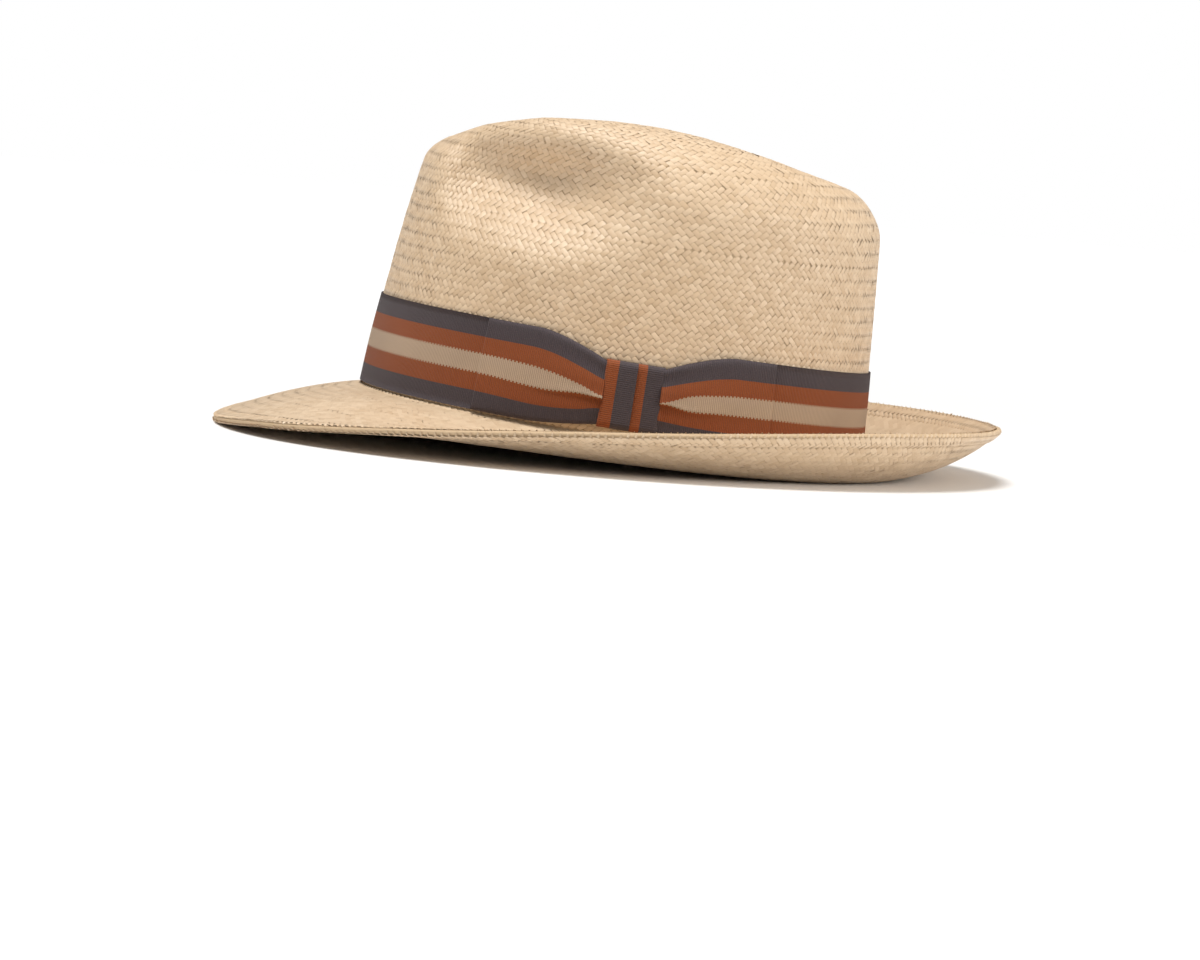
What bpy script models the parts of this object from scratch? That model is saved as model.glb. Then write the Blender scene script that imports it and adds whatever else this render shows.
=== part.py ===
"""A woven straw hat with a pinched crown, a snap brim and a striped ribbon with a flat bow.

Frame: +Z up, the face side looks along -Y, the wearer's left side and the bow are at +X.
The hat stands on z = 0 on its own brim, with its outline centred over the origin.
Each shape is first worked out about the head opening, level and centred, then set down at rest.
"""

import math

import bpy
import numpy as np

# Head opening, measured inside the straw
HEAD_LENGTH = 0.2011
HEAD_WIDTH = 0.1680

# Straw
STRAW = 0.0018
HEM_THICKNESS = 0.0026
HEM_SHARE = 0.09
HEM_STEP_SHARE = 0.01
RIM_DEPTH_SHARES = (0.25, 0.75)
RIM_ROUND_SHARE = 0.4

# Crown
CROWN_HEIGHT = 0.1192
CROWN_SECTIONS = (
    # around_deg, inset_low, inset_high, shoulder (shares of the crown's height)
    (0, 0.082, 0.058, 0.060),
    (45, 0.084, 0.052, 0.170),
    (90, 0.086, 0.030, 0.250),
    (135, 0.078, 0.016, 0.210),
    (180, 0.072, 0.010, 0.140),
)
ROOF_LINE = (
    # along (-1 front edge, 1 back edge), height (share of the crown's height)
    (-1.00, 0.838),
    (-0.75, 0.921),
    (-0.50, 0.972),
    (-0.20, 0.996),
    (0.00, 1.000),
    (0.20, 0.991),
    (0.50, 0.959),
    (0.75, 0.922),
    (1.00, 0.880),
)

# Hollow along the top of the crown, wider towards the back
TOP_DENT_DEPTH = 0.0250
TOP_DENT_HALF_LENGTH = 0.0830
TOP_DENT_HALF_WIDTH = 0.0440
TOP_DENT_MIDDLE = 0.0020
TOP_DENT_TAPER_SHARE = 0.42

# Front pinch, one on each side
PINCH_DEPTH = 0.0225
PINCH_MIDDLE = -0.0390
PINCH_HEIGHT = 0.0915
PINCH_AHEAD = 0.0465
PINCH_BEHIND = 0.0520
PINCH_ABOVE = 0.0265
PINCH_BELOW = 0.0350
PINCH_EASE = 0.85
PINCH_SNAP = 3.0
PINCH_NOSE = 0.0240

# Brim
BRIM = 0.0600
BREAK_SHARE = 0.030
BRIM_SECTIONS = (
    # around_deg, length (share of the brim), leave_deg, end_deg
    (0, 1.030, -15.0, -28.0),
    (35, 1.035, -8.0, -21.0),
    (62, 0.990, -21.0, 11.0),
    (90, 0.980, -26.0, 40.0),
    (135, 0.990, -21.0, 66.0),
    (180, 1.000, 0.0, 50.0),
)

# Ribbon
RIBBON_WIDTH = 0.0360
RIBBON = 0.0008
SEAT = 0.0003
RIBBON_RISE = 0.0004

# Bow, on the wearer's left
KNOT_MIDDLE = 0.0062
KNOT_WIDTH = 0.0230
KNOT_THICKNESS = 0.0034
KNOT_PLEAT = 0.0010
KNOT_PLEAT_SLOPE = 0.6
KNOT_FOLD = 0.05
KNOT_FOLD_STEP = 0.07
KNOT_SIDE_SHARE = 0.75
KNOT_EDGE_SHARE = 0.65
LOOP_FRONT_END = -0.0535
LOOP_BACK_END = 0.0607
LOOP_END_THICKNESS = 0.0016
LOOP_KNOT_THICKNESS = 0.0030
LOOP_EDGE_SHARE = 0.55
GATHER_TOP = 0.0082
GATHER_BOTTOM = 0.0032
GATHER_LENGTH = 0.0280
GATHER_EASE = 1.5
KNOT_OVERHANG = 0.0006

# Rest
PRESS = 0.00035

# Mesh fineness
COLUMNS = 64
CROWN_RINGS = (
    # from, to (shares of the way down the crown), rings
    (0.00, 0.40, 8),
    (0.40, 0.70, 10),
    (0.70, 1.00, 6),
)
BREAK_RINGS = (0.4, 1.0)
BRIM_RINGS = 8
BRIM_FINE = 400
LOOP_STEPS = 12
LOOP_ROWS = 8
KNOT_STEPS = 8
KNOT_ROWS = 6


def clear_scene():
    for old in list(bpy.data.objects):
        bpy.data.objects.remove(old, do_unlink=True)


def material(name, colour, roughness):
    made = bpy.data.materials.new(name)
    made.use_nodes = True
    shader = made.node_tree.nodes["Principled BSDF"]
    shader.inputs["Base Color"].default_value = (*colour, 1.0)
    shader.inputs["Roughness"].default_value = roughness
    shader.inputs["Metallic"].default_value = 0.0
    made.diffuse_color = (*colour, 1.0)
    return made


def along_table(table, column, at):
    """Smooth curve through one column of a table, level at both ends."""
    rows = np.array(table, float)
    xs, ys = rows[:, 0], rows[:, column]
    slopes = np.zeros(len(xs))
    slopes[1:-1] = (ys[2:] - ys[:-2]) / (xs[2:] - xs[:-2])
    at = np.clip(at, xs[0], xs[-1])
    k = np.clip(np.searchsorted(xs, at, side="right") - 1, 0, len(xs) - 2)
    step = xs[k + 1] - xs[k]
    t = (at - xs[k]) / step
    start = (1 + 2 * t) * (1 - t) ** 2 * ys[k] + t * (1 - t) ** 2 * step * slopes[k]
    end = t**2 * (3 - 2 * t) * ys[k + 1] - t**2 * (1 - t) * step * slopes[k + 1]
    return start + end


def by_turn(table, column, turn):
    """A table's column read at a turn about the crown, the same on both sides."""
    degrees = np.degrees(np.abs((turn + math.pi) % (2 * math.pi) - math.pi))
    return along_table(table, column, degrees)


def roof_height(along):
    """Height of the crown's top over the head opening, before the hollow is pressed in.
    The first and last rows carry on in a straight line."""
    rows = np.array(ROOF_LINE)
    return CROWN_HEIGHT * np.interp(along, rows[:, 0], rows[:, 1]) * 0.5 + (
        CROWN_HEIGHT * along_table(ROOF_LINE, 1, along) * 0.5
    )


def bump(distance):
    """1 in the middle, 0 from a distance of 1 outwards, smooth at both."""
    return 0.5 + 0.5 * np.cos(math.pi * np.clip(distance, 0, 1))


def wall_inset(turn, height):
    """How far the crown's wall has come in at this height."""
    share = height / CROWN_HEIGHT
    low = by_turn(CROWN_SECTIONS, 1, turn)
    high = by_turn(CROWN_SECTIONS, 2, turn)
    return CROWN_HEIGHT * (low * share + high * share**3)


def oval(turn, inset, share=1.0):
    """Point of the straw's outer oval, brought in by inset and scaled about the middle."""
    half_length = HEAD_LENGTH / 2 + STRAW - inset
    half_width = HEAD_WIDTH / 2 + STRAW - inset
    return share * half_width * np.sin(turn), -share * half_length * np.cos(turn)


def oval_normal(turn):
    half_length = HEAD_LENGTH / 2 + STRAW
    half_width = HEAD_WIDTH / 2 + STRAW
    across = half_length * np.sin(turn)
    ahead = -half_width * np.cos(turn)
    size = np.hypot(across, ahead)
    return across / size, ahead / size


def pressed(x, y, z):
    """The hollow along the top and the two front pinches, pressed into the plain crown."""
    side = y - PINCH_MIDDLE
    ahead = np.clip(-side / PINCH_AHEAD, 0, None) ** PINCH_SNAP
    side = np.where(side > 0, side / PINCH_BEHIND, ahead)
    rise = z - PINCH_HEIGHT
    rise = np.where(rise > 0, rise / PINCH_ABOVE, rise / PINCH_BELOW)
    pinch = PINCH_DEPTH * bump(np.hypot(side, rise) ** PINCH_EASE)
    clear = np.clip(np.abs(x) / PINCH_NOSE, 0, 1)
    clear = clear**2 * (3 - 2 * clear)
    along = (y - TOP_DENT_MIDDLE) / TOP_DENT_HALF_LENGTH
    half_width = TOP_DENT_HALF_WIDTH * (1 + TOP_DENT_TAPER_SHARE * np.clip(along, -1, 1))
    dent = TOP_DENT_DEPTH * bump(np.hypot(x / half_width, along))
    return x - np.sign(x) * pinch * clear, y, z - dent


def crown(down, turn):
    """Outer face of the crown: down is 0 in the middle of the top and 1 at the brim."""
    top = CROWN_HEIGHT * np.array(ROOF_LINE)[0, 1]
    inset_top = wall_inset(turn, top)
    edge_x, edge_y = oval(turn, inset_top)
    edge = np.hypot(edge_x, edge_y)
    half_length = HEAD_LENGTH / 2 + STRAW - inset_top
    roof_edge = roof_height(edge_y / half_length)
    shoulder = CROWN_HEIGHT * by_turn(CROWN_SECTIONS, 3, turn)
    flat = edge - shoulder
    bend = shoulder * math.pi / 2
    wall = roof_edge - shoulder
    run = down * (flat + bend + wall)
    angle = np.clip((run - flat) / shoulder, 0, math.pi / 2)
    share = np.minimum(run, flat) / edge + shoulder * np.sin(angle) / edge
    drop = shoulder * (1 - np.cos(angle)) + np.clip(run - flat - bend, 0, None)
    z = roof_height(share * edge_y / half_length) - drop
    x, y = oval(turn, wall_inset(turn, np.clip(z, 0, top)), share)
    return np.stack(pressed(x, y, z), axis=-1)


def brim(out, turn):
    """Upper face of the brim: out is 0 where the crown ends and 1 at the rim."""
    fine = (np.arange(BRIM_FINE) + 0.5)[:, None] / BRIM_FINE
    leave = np.radians(by_turn(BRIM_SECTIONS, 2, turn))
    end = np.radians(by_turn(BRIM_SECTIONS, 3, turn))
    wall = -math.pi / 2 + by_turn(CROWN_SECTIONS, 1, turn)
    bend = np.clip(fine / BREAK_SHARE, 0, 1)
    slope = leave + (end - leave) * np.clip((fine - BREAK_SHARE) / (1 - BREAK_SHARE), 0, 1)
    slope = np.where(bend < 1, wall + (leave - wall) * bend, slope)
    length = BRIM * by_turn(BRIM_SECTIONS, 1, turn)
    reach = np.cumsum(np.cos(slope), axis=0) * length / BRIM_FINE
    rise = np.cumsum(np.sin(slope), axis=0) * length / BRIM_FINE
    at = np.clip(np.round(np.asarray(out) * BRIM_FINE).astype(int) - 1, 0, BRIM_FINE - 1)
    base_x, base_y = oval(turn, 0.0)
    across, ahead = oval_normal(turn)
    reach, rise = reach[at], rise[at]
    return np.stack((base_x + across * reach, base_y + ahead * reach, rise), axis=-1)


def straw_rings():
    """Upper face of crown and brim as rings of points, and the straw's thickness at each."""
    turn = np.arange(COLUMNS) * 2 * math.pi / COLUMNS
    down = [np.linspace(start, end, rings + 1)[1:] for start, end, rings in CROWN_RINGS]
    down = np.concatenate(down)
    hem = 1 - HEM_SHARE
    bend = BREAK_SHARE * np.array(BREAK_RINGS)
    flat = np.linspace(BREAK_SHARE, hem, BRIM_RINGS + 1)[1:]
    out = np.concatenate([bend, flat, [hem + HEM_STEP_SHARE, hem + HEM_SHARE / 2, 1.0]])
    rings = [crown(share, turn) for share in down] + list(brim(out, turn))
    thick = [STRAW] * (len(rings) - 3) + [HEM_THICKNESS] * 3
    return np.array(rings), np.array(thick)


def ring_normals(rings):
    around = np.roll(rings, -1, axis=1) - np.roll(rings, 1, axis=1)
    outward = np.gradient(rings, axis=0)
    normals = np.cross(around, outward)
    normals /= np.linalg.norm(normals, axis=-1, keepdims=True)
    return -normals


def closed_rings(name, rings, top, bottom):
    """One solid from rings of points between a top point and a bottom point."""
    count, columns, _ = rings.shape
    points = np.concatenate([[top], rings.reshape(-1, 3), [bottom]])
    faces = []
    for c in range(columns):
        after = (c + 1) % columns
        faces.append((0, 1 + c, 1 + after))
        for r in range(count - 1):
            here, below = 1 + r * columns, 1 + (r + 1) * columns
            faces.append((here + c, below + c, below + after, here + after))
        last = 1 + (count - 1) * columns
        faces.append((last + c, len(points) - 1, last + after))
    return solid(name, points, faces)


def ring_band(name, outer, inner):
    """One closed loop from an outer and an inner sheet of points, rows by columns."""
    rows = np.concatenate([outer, inner[::-1]])
    count, columns, _ = rows.shape
    faces = []
    for r in range(count):
        here, below = r * columns, ((r + 1) % count) * columns
        for c in range(columns):
            after = (c + 1) % columns
            faces.append((here + c, below + c, below + after, here + after))
    return solid(name, rows.reshape(-1, 3), faces)


def sheet_block(name, outer, inner):
    """One solid between two sheets of points with the same rows and columns."""
    rows, columns, _ = outer.shape
    points = np.concatenate([outer.reshape(-1, 3), inner.reshape(-1, 3)])
    back = rows * columns
    faces = []
    for r in range(rows - 1):
        for c in range(columns - 1):
            a, b = r * columns + c, (r + 1) * columns + c
            faces.append((a, b, b + 1, a + 1))
            faces.append((back + a + 1, back + b + 1, back + b, back + a))
    border = [(0, c) for c in range(columns)]
    border += [(r, columns - 1) for r in range(1, rows)]
    border += [(rows - 1, c) for c in range(columns - 2, -1, -1)]
    border += [(r, 0) for r in range(rows - 2, 0, -1)]
    for (r0, c0), (r1, c1) in zip(border, border[1:] + border[:1]):
        a, b = r0 * columns + c0, r1 * columns + c1
        faces.append((a, b, back + b, back + a))
    return solid(name, points, faces)


def solid(name, points, faces):
    mesh = bpy.data.meshes.new(name)
    mesh.from_pydata([tuple(p) for p in points], [], faces)
    mesh.update()
    mesh.shade_smooth()
    made = bpy.data.objects.new(name, mesh)
    bpy.context.scene.collection.objects.link(made)
    return made


def hat_shape():
    """Rings of the straw's upper face, its rounded rim and its lower face."""
    rings, thick = straw_rings()
    normals = ring_normals(rings)
    lower = rings - normals * thick[:, None, None]
    away = rings[-1] - rings[-2]
    away /= np.linalg.norm(away, axis=-1, keepdims=True)
    depth = HEM_THICKNESS * np.array(RIM_DEPTH_SHARES)[:, None, None]
    rim = rings[-1] - normals[-1] * depth + away * HEM_THICKNESS * RIM_ROUND_SHARE
    top = crown(0.0, np.zeros(1))[0]
    bottom = top - np.array([0.0, 0.0, STRAW])
    return np.concatenate([rings, rim, lower[::-1]]), top, bottom


def resting_tilt(points):
    """Slope of the line under the hat from its front rim to the back of its brim."""
    flat = points.reshape(-1, 3)[:, 1:]
    order = np.argsort(flat[:, 0])
    hull = []
    for point in flat[order]:
        while len(hull) > 1:
            ahead, behind = hull[-1] - hull[-2], point - hull[-2]
            if ahead[0] * behind[1] - ahead[1] * behind[0] > 0:
                break
            hull.pop()
        hull.append(point)
    for start, end in zip(hull, hull[1:]):
        if start[0] < 0 < end[0]:
            return math.atan2(end[1] - start[1], end[0] - start[0])
    return 0.0


class Rest:
    """Sets the level shapes down on the floor as the hat lies by itself."""

    def __init__(self, points):
        tilt = resting_tilt(points)
        self.cos, self.sin = math.cos(tilt), math.sin(tilt)
        self.shift = np.zeros(3)
        turned = self.place(points).reshape(-1, 3)
        low, high = turned.min(axis=0), turned.max(axis=0)
        self.shift = np.array([(low[0] + high[0]) / 2, (low[1] + high[1]) / 2, low[2]])
        self.shift[2] += PRESS

    def place(self, points):
        points = np.asarray(points)
        x, y, z = points[..., 0], points[..., 1], points[..., 2]
        turned = np.stack((x, y * self.cos + z * self.sin, z * self.cos - y * self.sin), -1)
        return turned - self.shift


def hat_body(rest, rings, top, bottom):
    placed = rest.place(rings)
    placed[..., 2] = np.maximum(placed[..., 2], 0.0)
    return closed_rings("hat_body", placed, rest.place(top), rest.place(bottom))


def along_bow(y):
    """Gathering at the knot: 1 beside it and under it, 0 out along the ribbon."""
    away = np.abs(y - KNOT_MIDDLE) - KNOT_WIDTH / 2
    return (1 - np.clip(away / GATHER_LENGTH, 0, 1)) ** GATHER_EASE


def ribbon_edges(turn):
    """Heights of the ribbon's lower and upper edge, drawn together at the knot."""
    x, y = oval(turn, 0.0)
    gather = np.where(x > 0, along_bow(y), 0.0)
    low = RIBBON_RISE + GATHER_BOTTOM * gather
    high = RIBBON_RISE + RIBBON_WIDTH - GATHER_TOP * gather
    return low, high


def on_wall(turn, share, off):
    """Point over the crown's wall: share runs from the ribbon's lower to its upper edge."""
    low, high = ribbon_edges(turn)
    z = low + (high - low) * share
    x, y = oval(turn, wall_inset(turn, z))
    across, ahead = oval_normal(turn)
    return np.stack((x + across * off, y + ahead * off, z), axis=-1)


def turn_at(y):
    """Turn about the crown on the wearer's left at this place along the hat."""
    return np.arccos(np.clip(-y / (HEAD_LENGTH / 2 + STRAW), -1, 1))


def ribbon_band(rest):
    turn = np.arange(COLUMNS) * 2 * math.pi / COLUMNS
    shares = np.array([1.0, 0.5, 0.0])
    outer = np.array([on_wall(turn, share, SEAT + RIBBON) for share in shares])
    inner = np.array([on_wall(turn, share, SEAT) for share in shares])
    return ring_band("ribbon_band", rest.place(outer), rest.place(inner))


def bow_loop(rest, name, start, end, knot_side):
    """Folded ribbon over the band: knot_side is 0 where start meets the knot, else 1."""
    turn = turn_at(np.linspace(start, end, LOOP_STEPS + 1))
    shares = np.linspace(1, 0, LOOP_ROWS + 1)
    near = np.abs(np.linspace(1, 0, LOOP_STEPS + 1) - knot_side)
    seat = SEAT * 2 + RIBBON
    body = LOOP_END_THICKNESS + (LOOP_KNOT_THICKNESS - LOOP_END_THICKNESS) * near**2
    outer = []
    for share in shares:
        middle = math.sqrt(max(math.sin(math.pi * share), 0.0))
        full = LOOP_EDGE_SHARE + (1 - LOOP_EDGE_SHARE) * middle
        outer.append(on_wall(turn, share, seat + body * full))
    inner = [on_wall(turn, share, seat) for share in shares]
    return sheet_block(name, rest.place(np.array(outer)), rest.place(np.array(inner)))


def bow_knot(rest):
    """Wrap round the middle of the bow, with one pleat laid over the other."""
    half = KNOT_WIDTH / 2
    share_along = np.linspace(-1, 1, KNOT_STEPS + 1)
    share_along[KNOT_STEPS // 2 + 1] = KNOT_FOLD + KNOT_FOLD_STEP
    turn = turn_at(KNOT_MIDDLE + half * share_along)
    over = KNOT_OVERHANG / (RIBBON_WIDTH - GATHER_TOP - GATHER_BOTTOM)
    shares = np.linspace(1 + over, -over, KNOT_ROWS + 1)
    seat = SEAT * 2 + RIBBON
    rise = KNOT_PLEAT * (1 + share_along * KNOT_PLEAT_SLOPE)
    pleat = np.where(share_along < KNOT_FOLD, rise, 0.0)
    ends = np.ones(KNOT_STEPS + 1)
    ends[[0, -1]] = KNOT_SIDE_SHARE
    outer = []
    for share in shares:
        full = 1 - (1 - KNOT_EDGE_SHARE) * abs(2 * share - 1) ** 4
        outer.append(on_wall(turn, share, seat + (KNOT_THICKNESS * full + pleat) * ends))
    inner = [on_wall(turn, share, seat) for share in shares]
    return sheet_block("bow_knot", rest.place(np.array(outer)), rest.place(np.array(inner)))


def build():
    clear_scene()
    straw = material("Woven straw", (0.66, 0.47, 0.27), 0.62)
    grey = material("Striped ribbon", (0.115, 0.085, 0.090), 0.80)
    rust = material("Ribbon knot", (0.290, 0.080, 0.028), 0.80)
    front = material("Ribbon front loop", (0.290, 0.085, 0.032), 0.80)
    back = material("Ribbon back loop", (0.380, 0.270, 0.180), 0.80)
    rings, top, bottom = hat_shape()
    rest = Rest(rings)
    half = KNOT_WIDTH / 2 + SEAT
    pieces = (
        (hat_body(rest, rings, top, bottom), straw),
        (ribbon_band(rest), grey),
        (bow_loop(rest, "bow_front_loop", LOOP_FRONT_END, KNOT_MIDDLE - half, 0), front),
        (bow_loop(rest, "bow_back_loop", KNOT_MIDDLE + half, LOOP_BACK_END, 1), back),
        (bow_knot(rest), rust),
    )
    for piece, look in pieces:
        piece.data.materials.append(look)


build()
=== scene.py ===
"""Looks of the woven straw hat: the weave strand by strand, the striped ribbed ribbon and its bow."""

import math

import bpy
import numpy as np
from mathutils import Matrix, Vector


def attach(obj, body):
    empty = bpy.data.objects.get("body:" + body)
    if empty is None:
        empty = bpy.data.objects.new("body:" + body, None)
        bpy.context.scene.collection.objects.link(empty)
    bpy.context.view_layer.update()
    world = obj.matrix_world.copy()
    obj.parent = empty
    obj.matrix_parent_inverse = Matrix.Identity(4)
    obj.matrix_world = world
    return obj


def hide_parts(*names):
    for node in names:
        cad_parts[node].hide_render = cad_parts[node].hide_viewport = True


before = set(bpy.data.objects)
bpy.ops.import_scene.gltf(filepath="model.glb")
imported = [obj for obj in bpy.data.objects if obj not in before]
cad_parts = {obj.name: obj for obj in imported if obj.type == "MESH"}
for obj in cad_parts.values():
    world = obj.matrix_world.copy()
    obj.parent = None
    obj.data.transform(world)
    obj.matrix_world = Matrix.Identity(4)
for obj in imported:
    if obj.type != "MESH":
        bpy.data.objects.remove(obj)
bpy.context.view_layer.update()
rng = np.random.default_rng(7)

# Sizes of the solid, as the part's source has them
HEAD_LENGTH = 0.2011
HEAD_WIDTH = 0.1680
STRAW = 0.0018
HEM_THICKNESS = 0.0026
HEM_SHARE = 0.09
HEM_STEP_SHARE = 0.01
RIM_DEPTH_SHARES = (0.25, 0.75)
RIM_ROUND_SHARE = 0.4
CROWN_HEIGHT = 0.1192
CROWN_SECTIONS = (
    # around_deg, inset_low, inset_high, shoulder (shares of the crown's height)
    (0, 0.082, 0.058, 0.060),
    (45, 0.084, 0.052, 0.170),
    (90, 0.086, 0.030, 0.250),
    (135, 0.078, 0.016, 0.210),
    (180, 0.072, 0.010, 0.140),
)
ROOF_LINE = (
    # along (-1 front edge, 1 back edge), height (share of the crown's height)
    (-1.00, 0.838),
    (-0.75, 0.921),
    (-0.50, 0.972),
    (-0.20, 0.996),
    (0.00, 1.000),
    (0.20, 0.991),
    (0.50, 0.959),
    (0.75, 0.922),
    (1.00, 0.880),
)
TOP_DENT_DEPTH = 0.0250
TOP_DENT_HALF_LENGTH = 0.0830
TOP_DENT_HALF_WIDTH = 0.0440
TOP_DENT_MIDDLE = 0.0020
TOP_DENT_TAPER_SHARE = 0.42
PINCH_DEPTH = 0.0225
PINCH_MIDDLE = -0.0390
PINCH_HEIGHT = 0.0915
PINCH_AHEAD = 0.0465
PINCH_BEHIND = 0.0520
PINCH_ABOVE = 0.0265
PINCH_BELOW = 0.0350
PINCH_EASE = 0.85
PINCH_SNAP = 3.0
PINCH_NOSE = 0.0240
BRIM = 0.0600
BREAK_SHARE = 0.030
BREAK_RINGS = (0.4, 1.0)
BRIM_SECTIONS = (
    # around_deg, length (share of the brim), leave_deg, end_deg
    (0, 1.030, -15.0, -28.0),
    (35, 1.035, -8.0, -21.0),
    (62, 0.990, -21.0, 11.0),
    (90, 0.980, -26.0, 40.0),
    (135, 0.990, -21.0, 66.0),
    (180, 1.000, 0.0, 50.0),
)
RIBBON_WIDTH = 0.0360
RIBBON = 0.0008
SEAT = 0.0003
RIBBON_RISE = 0.0004
KNOT_MIDDLE = 0.0062
KNOT_WIDTH = 0.0230
KNOT_THICKNESS = 0.0034
LOOP_FRONT_END = -0.0535
LOOP_BACK_END = 0.0607
GATHER_TOP = 0.0082
GATHER_BOTTOM = 0.0032
GATHER_LENGTH = 0.0280
GATHER_EASE = 1.5
PRESS = 0.00035
COLUMNS = 64
CROWN_RINGS = (
    # from, to (shares of the way down the crown), rings
    (0.00, 0.40, 8),
    (0.40, 0.70, 10),
    (0.70, 1.00, 6),
)
BRIM_RINGS = 8
BRIM_FINE = 400

# Weave
PITCH = 0.00275
SINK = 0.00018
HEM_TOP = 0.00022
HEM_UNDER = 0.00062
HEM_EASE_SHARE = 0.02
RIM_DROP = 0.00105
RIM_RADIUS = 0.00140
RIM_BACK = 0.0006
RIM_FLOATS = 340
RIM_HALF_TURNS = (-1.02, 0.70)
RIM_ROWS = 31
RIM_LEVEL_SHARE = 0.97

# Points round and along the smooth surfaces, and of the plain ground under the strands
AROUND = 720
CROWN_START_SHARE = 0.002
CROWN_ROWS = 400
BRIM_ROWS = 200
GROUND_AROUND = 192
GROUND_CROWN_ROWS = 80
GROUND_BRIM_ROWS = 44
GROUND_RIM_ROWS = 9
GROUND_RIM_SHARES = (0.22, 0.92)
GROUND_BRIM_START = 0.01
GROUND_RIM_SINK = 0.00035
GROUND_OFF_FLOOR = 0.0003


def whole_turn(columns):
    """Turns of evenly spaced columns, once round the hat."""
    return np.arange(columns) * 2 * math.pi / columns


def along_table(table, column, at):
    """Smooth curve through one column of a table, level at both ends."""
    rows = np.array(table, float)
    xs, ys = rows[:, 0], rows[:, column]
    slopes = np.zeros(len(xs))
    slopes[1:-1] = (ys[2:] - ys[:-2]) / (xs[2:] - xs[:-2])
    at = np.clip(at, xs[0], xs[-1])
    k = np.clip(np.searchsorted(xs, at, side="right") - 1, 0, len(xs) - 2)
    step = xs[k + 1] - xs[k]
    t = (at - xs[k]) / step
    start = (1 + 2 * t) * (1 - t) ** 2 * ys[k] + t * (1 - t) ** 2 * step * slopes[k]
    end = t**2 * (3 - 2 * t) * ys[k + 1] - t**2 * (1 - t) * step * slopes[k + 1]
    return start + end


def by_turn(table, column, turn):
    """A table's column at each turn round the hat: 0 is the front, both sides alike."""
    degrees = np.degrees(np.abs((turn + math.pi) % (2 * math.pi) - math.pi))
    return along_table(table, column, degrees)


def roof_height(along):
    """Height of the crown's top before the hollows, halfway between straight and smooth."""
    rows = np.array(ROOF_LINE)
    return CROWN_HEIGHT * np.interp(along, rows[:, 0], rows[:, 1]) * 0.5 + (
        CROWN_HEIGHT * along_table(ROOF_LINE, 1, along) * 0.5
    )


def bump(distance):
    """1 at the middle, easing to 0 at distance 1 and beyond."""
    return 0.5 + 0.5 * np.cos(math.pi * np.clip(distance, 0, 1))


def wall_inset(turn, height):
    """How far the crown's wall leans in at a height."""
    share = height / CROWN_HEIGHT
    low = by_turn(CROWN_SECTIONS, 1, turn)
    high = by_turn(CROWN_SECTIONS, 2, turn)
    return CROWN_HEIGHT * (low * share + high * share**3)


def oval(turn, inset, share=1.0):
    """The crown's oval, drawn in by inset, then scaled by share."""
    half_length = HEAD_LENGTH / 2 + STRAW - inset
    half_width = HEAD_WIDTH / 2 + STRAW - inset
    return share * half_width * np.sin(turn), -share * half_length * np.cos(turn)


def oval_normal(turn):
    """Outward direction square to the oval."""
    half_length = HEAD_LENGTH / 2 + STRAW
    half_width = HEAD_WIDTH / 2 + STRAW
    across = half_length * np.sin(turn)
    ahead = -half_width * np.cos(turn)
    size = np.hypot(across, ahead)
    return across / size, ahead / size


def pressed(x, y, z):
    """The hollow along the top and the two front pinches, pressed into the plain crown."""
    side = y - PINCH_MIDDLE
    ahead = np.clip(-side / PINCH_AHEAD, 0, None) ** PINCH_SNAP
    side = np.where(side > 0, side / PINCH_BEHIND, ahead)
    rise = z - PINCH_HEIGHT
    rise = np.where(rise > 0, rise / PINCH_ABOVE, rise / PINCH_BELOW)
    pinch = PINCH_DEPTH * bump(np.hypot(side, rise) ** PINCH_EASE)
    clear = np.clip(np.abs(x) / PINCH_NOSE, 0, 1)
    clear = clear**2 * (3 - 2 * clear)
    along = (y - TOP_DENT_MIDDLE) / TOP_DENT_HALF_LENGTH
    half_width = TOP_DENT_HALF_WIDTH * (1 + TOP_DENT_TAPER_SHARE * np.clip(along, -1, 1))
    dent = TOP_DENT_DEPTH * bump(np.hypot(x / half_width, along))
    return x - np.sign(x) * pinch * clear, y, z - dent


def crown(down, turn):
    """Outer face of the crown, from the middle of its top (0) down to the brim (1)."""
    top = CROWN_HEIGHT * np.array(ROOF_LINE)[0, 1]
    inset_top = wall_inset(turn, top)
    edge_x, edge_y = oval(turn, inset_top)
    edge = np.hypot(edge_x, edge_y)
    half_length = HEAD_LENGTH / 2 + STRAW - inset_top
    roof_edge = roof_height(edge_y / half_length)
    shoulder = CROWN_HEIGHT * by_turn(CROWN_SECTIONS, 3, turn)
    flat = edge - shoulder
    bend = shoulder * math.pi / 2
    wall = roof_edge - shoulder
    run = down * (flat + bend + wall)
    angle = np.clip((run - flat) / shoulder, 0, math.pi / 2)
    share = np.minimum(run, flat) / edge + shoulder * np.sin(angle) / edge
    drop = shoulder * (1 - np.cos(angle)) + np.clip(run - flat - bend, 0, None)
    z = roof_height(share * edge_y / half_length) - drop
    x, y = oval(turn, wall_inset(turn, np.clip(z, 0, top)), share)
    return np.stack(pressed(x, y, z), axis=-1)


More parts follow.
